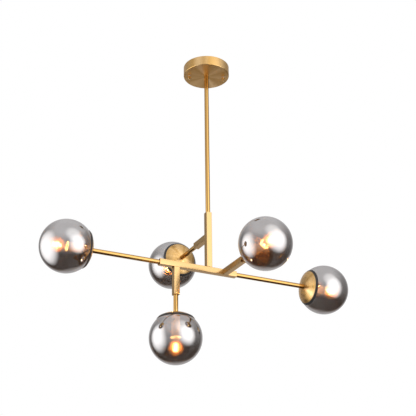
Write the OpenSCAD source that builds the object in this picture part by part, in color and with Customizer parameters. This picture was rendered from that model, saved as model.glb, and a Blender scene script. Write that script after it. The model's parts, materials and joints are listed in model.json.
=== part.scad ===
// Branch chandelier: a round ceiling canopy, a stem, a frame of square bars
// and five round arms, each with a domed cap, a glass globe and a small bulb.
// Millimetres. The origin is the middle of the face that lies on the ceiling,
// +Z is up, and the main bar runs along X.

/* [Ceiling fitting] */
// Outer diameter of the canopy
canopy_d = 146; // [136:1:180]
// Height of the canopy
canopy_h = 32.5; // [31:0.5:45]
// Wall of the canopy
canopy_wall = 1.2; // [0.8:0.1:2]
// Radius of the canopy's lower edge
canopy_edge_r = 3; // [2:0.5:6]
// Turn of the ceiling bracket from the main bar, in degrees
bracket_turn = -21; // [-60:1:60]
// Width of the ceiling bracket's strap
bracket_w = 20; // [16:1:26]
// Thickness of the strap
bracket_t = 2; // [1.5:0.1:3]
// Drop of the strap's two ends below the ceiling
bracket_joggle = 6; // [5:0.5:8]
// Distance between the two studs
stud_spacing = 109; // [100:1:112]
// Diameter of the studs
stud_d = 4; // [4:0.5:5]
// Distance between the two ceiling screw holes
ceiling_hole_spacing = 60; // [50:1:70]
// Diameter of the ceiling screw holes
ceiling_hole_d = 5; // [4:0.1:6]
// Diameter of the hole for the supply cable
supply_hole_d = 12; // [8:0.5:14]
// Diameter of the cap nuts
cap_nut_d = 10; // [8.5:0.5:14]
// Height of the straight part of the cap nuts
cap_nut_h = 11; // [10:0.5:16]

/* [Frame of square bars] */
// Ceiling to the middle of the main bar
drop = 702; // [500:1:1200]
// Side of the square bars
bar = 17.5; // [16.5:0.1:22]
// Wall of the square bars
bar_wall = 1.5; // [1.2:0.1:1.7]
// Main bar, from the stem's axis to its left end
main_left = 160; // [145:1:260]
// Main bar, from the stem's axis to its right end
main_right = 90; // [85:1:200]
// Top of the upright bar above the middle of the main bar
upright_top = 186; // [150:1:300]
// Middle of the back bar above the middle of the main bar
back_height = 108; // [60:1:125]
// End of the back bar behind the stem's axis
back_reach = 83; // [50:1:120]
// Middle of the front bar to the right of the stem's axis
front_offset = 52; // [40:1:65]
// End of the front bar in front of the stem's axis
front_reach = 119.5; // [60:0.5:125]
// Middle of the down bar to the left of the stem's axis
down_offset = 106; // [60:1:120]
// End of the down bar below the middle of the main bar
down_reach = 93; // [60:1:100]

/* [Round arms] */
// Diameter of the stem and of the arms
rod_d = 14; // [13:0.1:16]
// Outer diameter of the hollow threaded nipples
nipple_d = 10; // [9:0.1:10.5]
// Bore of the hollow threaded nipples
nipple_bore = 7.6; // [7.4:0.1:8]
// Length of a nipple on each side of its joint
nipple_reach = 10; // [8:0.5:11]
// Stem's axis to the middle of the left globe
left_globe = 440.5; // [360:0.5:560]
// Stem's axis to the middle of the right globe
right_globe = 400.5; // [300:0.5:520]
// Front of the stem's axis to the middle of the front globe
front_globe = 249.5; // [235:0.5:360]
// Back of the stem's axis to the middle of the back globe
back_globe = 258; // [225:0.5:360]
// Below the middle of the main bar to the middle of the lower globe
down_globe = 221.5; // [200:0.5:320]

/* [Glass globes and caps] */
// Outer diameter of the glass globes
globe_d = 152; // [135:1:170]
// Thickness of the glass
glass_t = 2.2; // [1.6:0.1:3]
// Outer diameter of a globe at its cut mouth
mouth_d = 104; // [98:1:110]
// How far inside a globe's mouth the rims of the domed caps lie
cap_inset = 1.5; // [0:0.1:2.5]
// Height of the domed caps
cap_h = 15; // [12:0.1:22]
// Thickness of the caps' sheet
cap_wall = 1; // [0.8:0.1:1.5]
// Thickness of a gasket between cap and glass
gasket_t = 4; // [2:0.5:5]
// How far a gasket's skirt reaches down the glass
gasket_skirt = 1.5; // [1:0.5:4]
// Distance of the retaining knobs' middles inside the glass's outer edge
knob_in = 13; // [12.5:0.5:18]
// Diameter of the retaining knobs
knob_d = 15; // [8:0.5:15]
// Sideways lean of a claw's shaft between its knob and its corner
knob_swing = 14; // [0:0.5:14]

/* [Lamps] */
// Outer diameter of the lampholders
holder_d = 25; // [22:0.5:30]
// Length of the lampholders below the claw plate
holder_len = 66.1; // [60:0.1:70]
// Diameter of the lampholder's rim
rim_d = 29; // [27:0.5:34]
// Height of the lampholder's rim
rim_h = 4; // [2:0.5:6]
// Diameter of the lamp's screw thread
thread_d = 13.9; // [13:0.1:14]
// Pitch of the lamp's screw thread
thread_pitch = 2.822; // [2.5:0.001:3]
// Diameter of the lamp bulbs
bulb_d = 45; // [40:1:50]
// Distance from a bulb's neck to its tip
bulb_len = 52.5; // [46:0.5:60]
// Thickness of the bulbs' glass
bulb_t = 0.8; // [0.6:0.1:1]

/* [Clearances] */
// Radial clearance of a part that turns or slides in a bore
run_gap = 0.05; // [0.03:0.01:0.1]
// Gap between the glass and the gasket
glass_gap = 0.3; // [0.2:0.1:0.5]
// Gap between the canopy's rim and the ceiling
rim_gap = 0.3; // [0.1:0.1:1]
// Gap round a plug in a square bar
plug_gap = 0.05; // [0.02:0.01:0.1]

/* [Hidden] */
$fn = 96;
ARMS = ["left", "right", "front", "back", "down"];
eps = 0.01;

// ---- Shared sizes ----
nipple_r = nipple_d / 2;
tube_bore = nipple_d + 2 * run_gap;
bar_bore = bar - 2 * bar_wall;
plug_side = bar_bore - 2 * plug_gap;
plug_len = 12;
plug_recess = 0.4;
// Hexagon nuts on the nipples: the small ones lie inside a square bar
nut_af = 12;
nut_h = 3;
wide_nut_af = 14;
lead_r = 1.2;
lead_bend_r = 3;
// The five leads run side by side round this radius
lead_ring_r = nipple_bore / 2 - lead_r - 0.2;
canopy_floor = -canopy_h + canopy_wall;
stem_top = -canopy_h;
main_z = -drop;
stem_foot = main_z + upright_top;

// ---- Sizes along a head's own axis, from the globe's centre towards the cap ----
globe_r = globe_d / 2;
mouth_h = sqrt(globe_r * globe_r - mouth_d * mouth_d / 4);
cap_d = mouth_d - 2 * cap_inset;
gasket_h = mouth_h + glass_gap;
cap_rim_h = gasket_h + gasket_t;
cap_top_h = cap_rim_h + cap_h;
// Radius of the sphere that a cap is a part of
cap_sphere_r = (cap_d * cap_d / 4 + cap_h * cap_h) / (2 * cap_h);
// The claw plate's rim seats against the inside of the cap's crown
claw_r = 15;
claw_t = 1.5;
claw_h = cap_top_h - cap_sphere_r + sqrt(pow(cap_sphere_r - cap_wall, 2) - claw_r * claw_r) - claw_t;
holder_nut_h = claw_h - nut_h;
holder_mouth_h = holder_nut_h - holder_len;
base_len = 21;
tip_len = 3.6;
holder_bore_h = base_len + tip_len + 1.4;

// ---- The arms: outward axis, root, end of the square bar, middle of the globe ----
function arm_turn(a) = a == "left" ? [0, -90, 0] : a == "right" ? [0, 90, 0]
    : a == "front" ? [90, 0, 0] : a == "back" ? [-90, 0, 0] : [180, 0, 0];
function arm_root(a) = a == "front" ? [front_offset, 0, main_z]
    : a == "back" ? [0, 0, main_z + back_height]
    : a == "down" ? [-down_offset, 0, main_z] : [0, 0, main_z];
function arm_bar_end(a) = a == "left" ? main_left : a == "right" ? main_right
    : a == "front" ? front_reach : a == "back" ? back_reach : down_reach;
function arm_globe(a) = a == "left" ? left_globe : a == "right" ? right_globe
    : a == "front" ? front_globe : a == "back" ? back_globe : down_globe;
// Turn of a head's three claws about its own axis, in degrees
function claw_turn(a) = a == "left" ? 10 : a == "front" ? -30 : a == "down" ? -5 : 30;

// Draws along an arm: +Z runs outwards from the arm's root
module on_arm(a) {
    translate(arm_root(a)) rotate(arm_turn(a)) children();
}

// Draws at a head: the globe's centre is the origin and +Z runs back to the arm
module on_head(a) {
    on_arm(a) translate([0, 0, arm_globe(a)]) rotate([180, 0, 0]) children();
}

// Draws in the turned frame of the ceiling bracket
module on_bracket() {
    rotate([0, 0, bracket_turn]) children();
}

module tube(r, bore_r, h) {
    difference() {
        cylinder(r = r, h = h);
        translate([0, 0, -1]) cylinder(r = bore_r, h = h + 2);
    }
}

// A hexagon nut with its bore, standing on z = 0
module hex_nut(af, bore_r, h) {
    difference() {
        cylinder(d = af / cos(30), h = h, $fn = 6);
        translate([0, 0, -1]) cylinder(r = bore_r, h = h + 2);
    }
}

// A hollow threaded nipple from z = -low to z = high
module nipple(low, high) {
    translate([0, 0, -low]) tube(nipple_r, nipple_bore / 2, low + high);
}

// ---- Ceiling fitting ----
strap_end = 8;
joggle_in = 12;
strap_half = stud_spacing / 2 + strap_end;
joggle_at = stud_spacing / 2 - joggle_in;

module ceiling_bracket() {
    foot_z = -bracket_joggle;
    color("silver") on_bracket() difference() {
        translate([0, bracket_w / 2, 0]) rotate([90, 0, 0]) linear_extrude(height = bracket_w)
            polygon([[-strap_half, foot_z], [-joggle_at - bracket_t, foot_z], [-joggle_at, 0],
                [joggle_at, 0], [joggle_at + bracket_t, foot_z], [strap_half, foot_z],
                [strap_half, foot_z - bracket_t], [joggle_at, foot_z - bracket_t],
                [joggle_at - bracket_t, -bracket_t], [-joggle_at + bracket_t, -bracket_t],
                [-joggle_at, foot_z - bracket_t], [-strap_half, foot_z - bracket_t]]);
        for (s = [-1, 1]) {
            translate([s * stud_spacing / 2, 0, foot_z - bracket_t - 1])
                cylinder(d = stud_d, h = bracket_t + 2);
            translate([s * ceiling_hole_spacing / 2, 0, -bracket_t - 1])
                cylinder(d = ceiling_hole_d, h = bracket_t + 2);
        }
        translate([0, 0, -bracket_t - 1]) cylinder(d = supply_hole_d, h = bracket_t + 2);
        translate([earth_at, 0, -bracket_t - 1]) cylinder(d = earth_d, h = bracket_t + 2);
    }
}

stud_head_h = 2.6;
stud_nut_h = 3.2;
// Gap round a stud in the canopy's hole and in its washer
stud_gap = 0.4;
// The studs reach this far into the cap nuts
stud_engage = 8;
washer_t = 0.8;
stud_tip = -canopy_h - washer_t - stud_engage;

// Two pan-headed screws that hang through the bracket's ends
module bracket_studs() {
    color("silver") on_bracket() for (s = [-1, 1]) translate([s * stud_spacing / 2, 0, 0]) {
        translate([0, 0, stud_tip]) cylinder(d = stud_d, h = -stud_tip - bracket_joggle);
        translate([0, 0, -bracket_joggle]) cylinder(d = 2 * stud_d, h = stud_head_h);
    }
}

module stud_locknuts() {
    color("silver") on_bracket() for (s = [-1, 1])
        translate([s * stud_spacing / 2, 0, -bracket_joggle - bracket_t - stud_nut_h])
            hex_nut(1.75 * stud_d, stud_d / 2, stud_nut_h);
}

earth_at = 18;
earth_d = 4;
earth_reach = 6;
earth_washer_d = 9;
earth_washer_t = 1;
earth_head_d = 7.6;
earth_head_h = 2.4;

// Earth screw with its cup washer, on the underside of the bracket
module earth_screw() {
    color("goldenrod") on_bracket() translate([earth_at, 0, 0]) {
        translate([0, 0, -bracket_t - earth_reach]) cylinder(d = earth_d, h = bracket_t + earth_reach);
        translate([0, 0, -bracket_t - earth_washer_t]) cylinder(d = earth_washer_d, h = earth_washer_t);
        translate([0, 0, -bracket_t - earth_reach]) cylinder(d = earth_head_d, h = earth_head_h);
    }
}

// Half of a rounded cup in the r-z plane, its closed end at z = 0
module cup_outline(r, h, edge) {
    union() {
        translate([0, edge]) square([r, h - edge]);
        square([r - edge, edge + eps]);
        intersection() {
            translate([r - edge, edge]) circle(r = edge);
            square([r, h]);
        }
    }
}

module canopy() {
    color("#c79b5b") difference() {
        translate([0, 0, -canopy_h]) rotate_extrude() difference() {
            cup_outline(canopy_d / 2, canopy_h - rim_gap, canopy_edge_r);
            translate([0, canopy_wall])
                cup_outline(canopy_d / 2 - canopy_wall, canopy_h, canopy_edge_r - canopy_wall);
        }
        translate([0, 0, -canopy_h - 1]) cylinder(r = nipple_r + run_gap, h = canopy_wall + 2);
        on_bracket() for (s = [-1, 1]) translate([s * stud_spacing / 2, 0, -canopy_h - 1])
            cylinder(r = stud_d / 2 + stud_gap, h = canopy_wall + 2);
    }
}

module nut_washers() {
    color("white") on_bracket() for (s = [-1, 1])
        translate([s * stud_spacing / 2, 0, -canopy_h - washer_t])
            tube(cap_nut_d / 2 - 0.5, stud_d / 2 + stud_gap, washer_t);
}

nut_tip_r = 2.6;

// Knurled cap nut with a small ball tip, hanging from z = 0
module cap_nut() {
    flutes = 20;
    color("#c79b5b") difference() {
        union() {
            translate([0, 0, -cap_nut_h]) cylinder(d = cap_nut_d, h = cap_nut_h);
            translate([0, 0, -cap_nut_h - 0.6 * nut_tip_r]) sphere(r = nut_tip_r);
        }
        translate([0, 0, -stud_engage - 1]) cylinder(r = stud_d / 2 + run_gap, h = stud_engage + 2);
        for (i = [0 : flutes - 1]) rotate([0, 0, i * 360 / flutes])
            translate([cap_nut_d / 2 + 0.25, 0, -cap_nut_h + 1.5])
                cylinder(r = 0.55, h = cap_nut_h - 3, $fn = 16);
    }
}

module cap_nut_at(s) {
    on_bracket() translate([s * stud_spacing / 2, 0, -canopy_h - washer_t]) cap_nut();
}

// ---- Stem and its fixings in the canopy ----
stem_washer_r = 9;
stem_washer_t = 1;
stem_nut_h = 4;
tab_r = 8;
tab_w = 9;
tab_t = 1.2;
stem_nut_z = canopy_floor + stem_washer_t + tab_t;
stem_nipple_top = stem_nut_z + stem_nut_h + 0.8;

module stem_nipple() {
    color("silver") translate([0, 0, stem_top]) nipple(nipple_reach, stem_nipple_top - stem_top);
}

module stem_washer() {
    color("silver") translate([0, 0, canopy_floor]) tube(stem_washer_r, nipple_r + run_gap, stem_washer_t);
}

module stem_locknut() {
    color("silver") translate([0, 0, stem_nut_z]) hex_nut(wide_nut_af, nipple_r, stem_nut_h);
}

block_w = 26;
block_d = 15;
block_h = 11;
block_z = stem_nipple_top + 0.4;

// Folded tab clamped under the stem's nut, which carries the terminal block
module terminal_bracket() {
    tab_y = block_d / 2;
    tab_z = canopy_floor + stem_washer_t;
    color("silver") difference() {
        union() {
            translate([0, 0, tab_z]) cylinder(r = tab_r, h = tab_t);
            translate([-tab_w / 2, 0, tab_z]) cube([tab_w, tab_y + tab_t, tab_t]);
            translate([-tab_w / 2, tab_y, tab_z]) cube([tab_w, tab_t, block_z + block_h - tab_z - 2]);
        }
        translate([0, 0, canopy_floor]) cylinder(r = nipple_r + run_gap, h = stem_washer_t + tab_t + 1);
    }
}

screw_holes = [for (x = [-1 : 1]) for (y = [-1, 1]) [x * block_w / 3.4, y * block_d / 4.5]];
screw_sink = 3;
screw_r = 1.8;
screw_gap = 0.1;

module terminal_block() {
    color("white") difference() {
        translate([-block_w / 2, -block_d / 2, block_z]) cube([block_w, block_d, block_h]);
        for (p = screw_holes) translate([p[0], p[1], block_z + block_h - screw_sink])
            cylinder(r = screw_r + screw_gap, h = screw_sink + 1);
    }
}

module terminal_screws() {
    slot = 0.5;
    head_h = 1.8;
    color("goldenrod") for (p = screw_holes) translate([p[0], p[1], block_z + block_h - screw_sink])
        difference() {
            cylinder(r = screw_r, h = head_h);
            translate([-screw_r - 1, -slot / 2, head_h - slot]) cube([2 * screw_r + 2, slot, 1]);
        }
}

module stem() {
    foot = stem_foot - plug_recess;
    color("#c79b5b") translate([0, 0, foot]) tube(rod_d / 2, tube_bore / 2, stem_top - foot);
}

// ---- Square bars ----
// A square tube along +Z between two distances from its root
module bar_tube(from, to) {
    translate([-bar / 2, -bar / 2, from]) difference() {
        cube([bar, bar, to - from]);
        translate([bar_wall, bar_wall, -1]) cube([bar_bore, bar_bore, to - from + 2]);
    }
}

// The hole in a bar's wall where a branch's nipple goes through
module branch_hole() {
    translate([0, 0, bar / 2 - bar_wall - 1]) cylinder(r = nipple_r, h = bar_wall + 2);
}

module main_bar() {
    color("#f2d9a0") difference() {
        translate([0, 0, main_z]) rotate([0, 90, 0]) bar_tube(-main_left, main_right);
        translate([0, 0, main_z]) branch_hole();
        on_arm("front") branch_hole();
        on_arm("down") branch_hole();
    }
}

module upright_bar() {
    color("#f2d9a0") difference() {
        translate([0, 0, main_z]) bar_tube(bar / 2, upright_top);
        on_arm("back") branch_hole();
    }
}

module branch_bar(a) {
    color("#f2d9a0") on_arm(a) bar_tube(bar / 2, arm_bar_end(a));
}

// A square plug with a threaded bore, standing on z = 0
module plug(h) {
    difference() {
        translate([-plug_side / 2, -plug_side / 2, 0]) cube([plug_side, plug_side, h]);
        translate([0, 0, -1]) cylinder(r = nipple_r, h = h + 2);
    }
}

// Plugs just inside the free ends of the bars, which take the arms and the stem
module bar_end_plugs() {
    color("#8a6a3c") {
        for (a = ARMS) on_arm(a) translate([0, 0, arm_bar_end(a) - plug_recess - plug_len]) plug(plug_len);
        translate([0, 0, stem_foot - plug_recess - plug_len]) plug(plug_len);
    }
}

BRANCHES = ["front", "back", "down"];

// Draws at each butt joint: z = 0 is the joint's plane and +Z runs into the branch
module at_joints() {
    for (a = BRANCHES) on_arm(a) translate([0, 0, bar / 2]) children();
    translate([0, 0, main_z + bar / 2]) children();
}

module bar_root_plugs() {
    color("#8a6a3c") at_joints() plug(plug_len);
}

module bar_nipples() {
    color("silver") at_joints() nipple(bar_wall + nut_h, nipple_reach);
}

module bar_locknuts() {
    color("silver") at_joints() translate([0, 0, -bar_wall - nut_h]) hex_nut(nut_af, nipple_r, nut_h);
}

// ---- Round arms ----
module rod(a) {
    from = arm_bar_end(a) - plug_recess;
    color("#c79b5b") on_arm(a) translate([0, 0, from])
        tube(rod_d / 2, tube_bore / 2, arm_globe(a) - cap_top_h - from);
}

// Hollow nipples at both ends of each arm, and at the foot of the stem
module rod_nipples() {
    color("silver") {
        for (a = ARMS) on_arm(a) translate([0, 0, arm_bar_end(a) - plug_recess])
            nipple(nipple_reach, nipple_reach);
        for (a = ARMS) on_head(a) translate([0, 0, cap_top_h])
            nipple(cap_top_h - holder_nut_h + nipple_seat, nipple_reach);
        translate([0, 0, stem_foot - plug_recess]) nipple(nipple_reach, nipple_reach);
    }
}

// ---- Heads ----
nipple_seat = 9;
holder_top_r = 9;
holder_top_h = 4;

module head_locknuts() {
    color("silver") for (a = ARMS) on_head(a) translate([0, 0, holder_nut_h]) hex_nut(wide_nut_af, nipple_r, nut_h);
}

// A shallow dome of even thickness, cut flat at its rim
module cap(a) {
    sphere_h = cap_top_h - cap_sphere_r;
    color("#c79b5b") on_head(a) difference() {
        rotate_extrude() intersection() {
            translate([0, sphere_h]) difference() {
                circle(r = cap_sphere_r, $fn = 360);
                circle(r = cap_sphere_r - cap_wall, $fn = 360);
            }
            translate([0, cap_rim_h]) square([cap_d, 2 * cap_h]);
        }
        translate([0, 0, cap_top_h - 3]) cylinder(r = nipple_r, h = 6);
    }
}

gasket_in = 5;
gasket_room = 0.5;
gasket_lip = 0.8;
gasket_over = 0.3;

// A gasket: a flat web on the glass's cut edge, and a skirt that follows the glass outside
module gaskets() {
    web_r = mouth_d / 2 - gasket_in;
    skirt_h = mouth_h - gasket_skirt;
    glass_r = mouth_d / 2 + gasket_room;
    skirt_r = sqrt(globe_r * globe_r - skirt_h * skirt_h) + gasket_room;
    color("#1c1c1c") for (a = ARMS) on_head(a) rotate_extrude()
        polygon([[web_r, gasket_h], [glass_r, gasket_h], [skirt_r, skirt_h],
            [skirt_r + gasket_lip, skirt_h], [skirt_r + gasket_lip, skirt_h + gasket_lip],
            [cap_d / 2 + gasket_over, cap_rim_h], [web_r, cap_rim_h]]);
}

claw_wire_r = 1.6;
claw_shaft_r = 2.2;
claw_ball_r = 2.8;
claw_rise = 14;
knob_t = 4;
knob_drop = 16;
knob_h = mouth_h - knob_drop;
knob_offset = mouth_d / 2 - knob_in;
// A claw's knob, the corner of its arm and the arm's end in the plate, with the knob at azimuth 0
claw_knob = [knob_offset, 0, knob_h];
claw_corner = [knob_offset + 2, -knob_swing, knob_h + claw_rise];
claw_end = [claw_r - 3, -2, claw_h];

// Draws at each of a head's claws, with +Z up and the knob at azimuth 0
module at_claws(a) {
    on_head(a) for (i = [0 : 2]) rotate([0, 0, claw_turn(a) + i * 120]) children();
}

// Moves to the point p with +Z running towards the point q
module aim(p, q) {
    dir = way(p, q);
    translate(p) rotate([0, acos(dir[2]), atan2(dir[1], dir[0])]) children();
}

// Spring plates under the locknuts, each with three arms that hold a globe by its mouth
module claw_plates() {
    shaft_len = norm(claw_corner - claw_knob);
    color("#b08a50") for (a = ARMS) {
        difference() {
            on_head(a) translate([0, 0, claw_h]) cylinder(r = claw_r, h = claw_t);
            on_head(a) translate([0, 0, claw_h - 1]) cylinder(r = nipple_r, h = claw_t + 2);
        }
        at_claws(a) {
            aim(claw_corner, claw_end) cylinder(r = claw_wire_r, h = norm(claw_end - claw_corner), $fn = 32);
            translate(claw_corner) sphere(r = claw_ball_r, $fn = 32);
            aim(claw_knob, claw_corner) translate([0, 0, knob_t / 2])
                cylinder(r = claw_shaft_r, h = shaft_len - knob_t / 2, $fn = 32);
        }
    }
}

// Round knobs on the claws' ends
module claw_knobs() {
    color("#c79b5b") for (a = ARMS) at_claws(a) aim(claw_knob, claw_corner) translate([0, 0, -knob_t / 2])
        rotate_extrude($fn = 48) union() {
            square([knob_d / 2 - knob_t / 2, knob_t]);
            intersection() {
                translate([knob_d / 2 - knob_t / 2, knob_t / 2]) circle(d = knob_t, $fn = 32);
                square([knob_d, knob_t]);
            }
        }
}

holder_chamber_h = holder_mouth_h + holder_bore_h + 2;

module lampholder(a) {
    body_top = holder_nut_h - holder_top_h;
    color("#e8dcc0") on_head(a) difference() {
        union() {
            translate([0, 0, holder_mouth_h]) cylinder(d = rim_d, h = rim_h);
            translate([0, 0, holder_mouth_h]) cylinder(d = holder_d, h = body_top - holder_mouth_h);
            translate([0, 0, body_top - eps]) cylinder(r = holder_top_r, h = holder_top_h + eps);
        }
        translate([0, 0, holder_mouth_h - 1]) cylinder(d = thread_d + 2 * run_gap, h = holder_bore_h + 1);
        translate([0, 0, holder_nut_h - nipple_seat]) cylinder(r = nipple_r, h = nipple_seat + 1);
        translate([0, 0, holder_chamber_h]) cylinder(r = nipple_bore / 2, h = holder_nut_h - holder_chamber_h);
    }
}

module globe(a) {
    color("#8d8784", 0.6) on_head(a) difference() {
        sphere(r = globe_r, $fn = 128);
        sphere(r = globe_r - glass_t, $fn = 128);
        translate([0, 0, mouth_h]) cylinder(r = globe_r, h = globe_r);
    }
}

// Screw base of a lamp: a rolled thread, an insulator and the centre contact
module bulb_base(a) {
    turns = floor((base_len - 4) / thread_pitch);
    crest = thread_d / 2;
    root = crest - 0.5;
    color("silver") on_head(a) translate([0, 0, holder_mouth_h]) rotate_extrude()
        polygon(concat([[0, 0], [crest, 0], [crest, 1]],
            [for (i = [0 : turns - 1]) for (q = [0, 0.5])
                [q == 0 ? root : crest, 2 + (i + q) * thread_pitch]],
            [[root, 2 + turns * thread_pitch], [root, base_len], [2.6, base_len + 2],
                [2.6, base_len + tip_len - 0.6], [1.6, base_len + tip_len], [0, base_len + tip_len]]));
}

neck_r = 8;
// Hole in the glass floor of a lamp's neck, where its wires pass
stem_hole_r = 3;

// Glass of a lamp: a neck that widens into a ball, hanging from the holder's mouth
module bulb(a) {
    ball_r = bulb_d / 2;
    ball_h = bulb_len - ball_r;
    color("#ffd9a0", 0.8) on_head(a) translate([0, 0, holder_mouth_h]) rotate([180, 0, 0]) rotate_extrude()
        difference() {
            bulb_outline(ball_r, ball_h, 0);
            intersection() {
                bulb_outline(ball_r, ball_h, bulb_t);
                translate([0, bulb_t]) square([ball_r, bulb_len]);
            }
            translate([0, -1]) square([stem_hole_r, bulb_t + 2]);
        }
}

// Half outline of a lamp's glass, smaller by inset all round
module bulb_outline(ball_r, ball_h, inset) {
    join = 55;
    r = ball_r - inset;
    intersection() {
        union() {
            translate([0, ball_h]) circle(r = r);
            polygon([[0, 0], [neck_r - inset, 0], [neck_r - inset, 2], [r * cos(join), ball_h - r * sin(join)],
                [0, ball_h]]);
        }
        square([ball_r, ball_h + ball_r]);
    }
}

// ---- Internal leads ----
function way(p, q) = (q - p) / norm(q - p);

// A round lead along a run of points, with a bent elbow at each square corner
module lead(points) {
    last = len(points) - 1;
    for (i = [0 : last - 1]) {
        dir = way(points[i], points[i + 1]);
        from = points[i] + dir * (i == 0 ? 0 : lead_bend_r);
        to = points[i + 1] - dir * (i == last - 1 ? 0 : lead_bend_r);
        aim(from, to) cylinder(r = lead_r, h = norm(to - from), $fn = 24);
        if (i < last - 1) elbow(points[i + 1], dir, way(points[i + 1], points[i + 2]));
    }
}

// A quarter bend at a corner, from the direction u to the direction v
module elbow(corner, u, v) {
    centre = corner + (v - u) * lead_bend_r;
    w = -cross(v, u);
    multmatrix([[-v[0], u[0], w[0], centre[0]], [-v[1], u[1], w[1], centre[1]],
        [-v[2], u[2], w[2], centre[2]], [0, 0, 0, 1]])
        rotate_extrude(angle = 90) translate([lead_bend_r, 0]) circle(r = lead_r, $fn = 24);
}

// Middle of a lead in the stem, to the nearest hundredth so that its lengths meet face to face
function lead_place(i) = [for (v = [cos(90 + 72 * i), sin(90 + 72 * i)]) round(100 * lead_ring_r * v) / 100];

// Where a lead ends inside its lampholder, measured along the arm
function lead_end(a) = arm_globe(a) - holder_chamber_h;

// Five leads from the terminal block through the stem and the bars to the lampholders
module leads() {
    back = lead_place(0);
    left = lead_place(1);
    down = lead_place(2);
    front = lead_place(3);
    right = lead_place(4);
    side = lead_ring_r;
    color("ivory") {
        lead([[back[0], back[1], block_z], [back[0], back[1], main_z + back_height],
            [back[0], lead_end("back"), main_z + back_height]]);
        lead([[left[0], left[1], block_z], [left[0], left[1], main_z], [-lead_end("left"), left[1], main_z]]);
        lead([[right[0], right[1], block_z], [right[0], right[1], main_z],
            [lead_end("right"), right[1], main_z]]);
        lead([[front[0], front[1], block_z], [front[0], front[1], main_z + side],
            [front_offset, front[1], main_z + side], [front_offset, -lead_end("front"), main_z + side]]);
        lead([[down[0], down[1], block_z], [down[0], down[1], main_z - side],
            [-down_offset, down[1], main_z - side], [-down_offset, down[1], main_z - lead_end("down")]]);
    }
}

// ---- The parts ----
ceiling_bracket();
bracket_studs();
stud_locknuts();
earth_screw();
canopy();
nut_washers();
cap_nut_at(-1);  // cap_nut_left
cap_nut_at(1);  // cap_nut_right
stem_nipple();
stem_washer();
stem_locknut();
terminal_bracket();
terminal_block();
terminal_screws();
stem();
upright_bar();
main_bar();
branch_bar("front");  // front_bar
branch_bar("back");  // back_bar
branch_bar("down");  // down_bar
bar_end_plugs();
bar_root_plugs();
bar_nipples();
bar_locknuts();
rod_nipples();
head_locknuts();
gaskets();
claw_plates();
claw_knobs();
leads();
for (a = ARMS) {
    rod(a);
    cap(a);
    lampholder(a);
    globe(a);
    bulb_base(a);
    bulb(a);
}
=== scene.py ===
import json
import math
import bpy
import bmesh
import numpy as np
from mathutils import Matrix, Vector

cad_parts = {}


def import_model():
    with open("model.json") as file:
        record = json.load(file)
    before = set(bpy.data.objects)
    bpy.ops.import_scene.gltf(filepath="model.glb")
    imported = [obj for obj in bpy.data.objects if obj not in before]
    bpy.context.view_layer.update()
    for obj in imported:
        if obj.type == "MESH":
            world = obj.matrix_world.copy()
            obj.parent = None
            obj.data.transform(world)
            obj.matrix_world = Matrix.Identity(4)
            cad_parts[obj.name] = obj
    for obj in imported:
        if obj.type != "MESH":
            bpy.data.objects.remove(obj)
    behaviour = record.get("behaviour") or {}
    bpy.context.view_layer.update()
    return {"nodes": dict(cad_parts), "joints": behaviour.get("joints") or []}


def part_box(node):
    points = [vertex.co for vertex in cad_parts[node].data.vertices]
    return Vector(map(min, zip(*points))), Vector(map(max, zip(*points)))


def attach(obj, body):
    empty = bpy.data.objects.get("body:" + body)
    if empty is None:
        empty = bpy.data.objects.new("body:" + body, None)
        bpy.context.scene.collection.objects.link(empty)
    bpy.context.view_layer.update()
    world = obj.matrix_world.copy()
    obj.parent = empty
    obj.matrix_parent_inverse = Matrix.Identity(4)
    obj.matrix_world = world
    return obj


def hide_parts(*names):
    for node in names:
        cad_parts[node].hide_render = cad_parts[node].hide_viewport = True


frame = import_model()
scene = bpy.context.scene

mm = 0.001  # every profile below is written in millimetres

# ---- Camera ----
# place is in the row frame, in metres; right and up are the picture's axes
camera = {
    "place": (-1.24131, -2.46489, -1.77220),
    "right": (0.8951686, -0.4456041, -0.0104972),
    "up": (-0.178105, -0.379183, 0.908019),
    "lens": 86.627,
}


def makeCamera(c):
    data = bpy.data.cameras.new("camera")
    data.lens, data.sensor_width = c["lens"], 36.0
    data.clip_start, data.clip_end = 0.05, 60.0
    eye = bpy.data.objects.new("camera", data)
    scene.collection.objects.link(eye)
    right, up = Vector(c["right"]).normalized(), Vector(c["up"]).normalized()
    back = right.cross(up).normalized()
    up = back.cross(right)
    turn = Matrix((right, up, back)).transposed().to_4x4()
    eye.matrix_world = Matrix.Translation(c["place"]) @ turn
    scene.camera = eye
    return right, up, back


viewRight, viewUp, viewBack = makeCamera(camera)

# ---- Arms and heads ----
# A head's own frame has the globe's centre as origin and +z back along the arm; headAcross is its x axis.
headAcross = {"left": (0, 0, 1), "right": (0, 0, -1), "front": (1, 0, 0), "back": (1, 0, 0), "down": (1, 0, 0)}
arms = {}
for joint in frame["joints"]:
    words = joint["name"].split("_")
    if words[0] == "lamp" and words[-1] == "unscrew":
        centre, outward = Vector(joint["pos_m"]), Vector(joint["axis"])
        x, z = Vector(headAcross[words[1]]), -outward
        arms[words[1]] = {"centre": centre, "outward": outward,
                          "matrix": np.array(Matrix((x, z.cross(x), z)).transposed())}


# Where a node lies along its head's axis, in millimetres from the globe's centre
def span(node, arm):
    low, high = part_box(node)
    corners = np.array([[x, y, z] for x in (low.x, high.x) for y in (low.y, high.y) for z in (low.z, high.z)])
    along = (corners - np.array(arms[arm]["centre"])) @ arms[arm]["matrix"][:, 2] / mm
    return along.min(), along.max()


globeRadius = -span("globe_down", "down")[0]
mouthHeight = span("globe_down", "down")[1]
capRim, capTop = span("cap_down", "down")
holderMouth, holderTop = span("lampholder_down", "down")
print("heads:", ", ".join(sorted(arms)))


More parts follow.
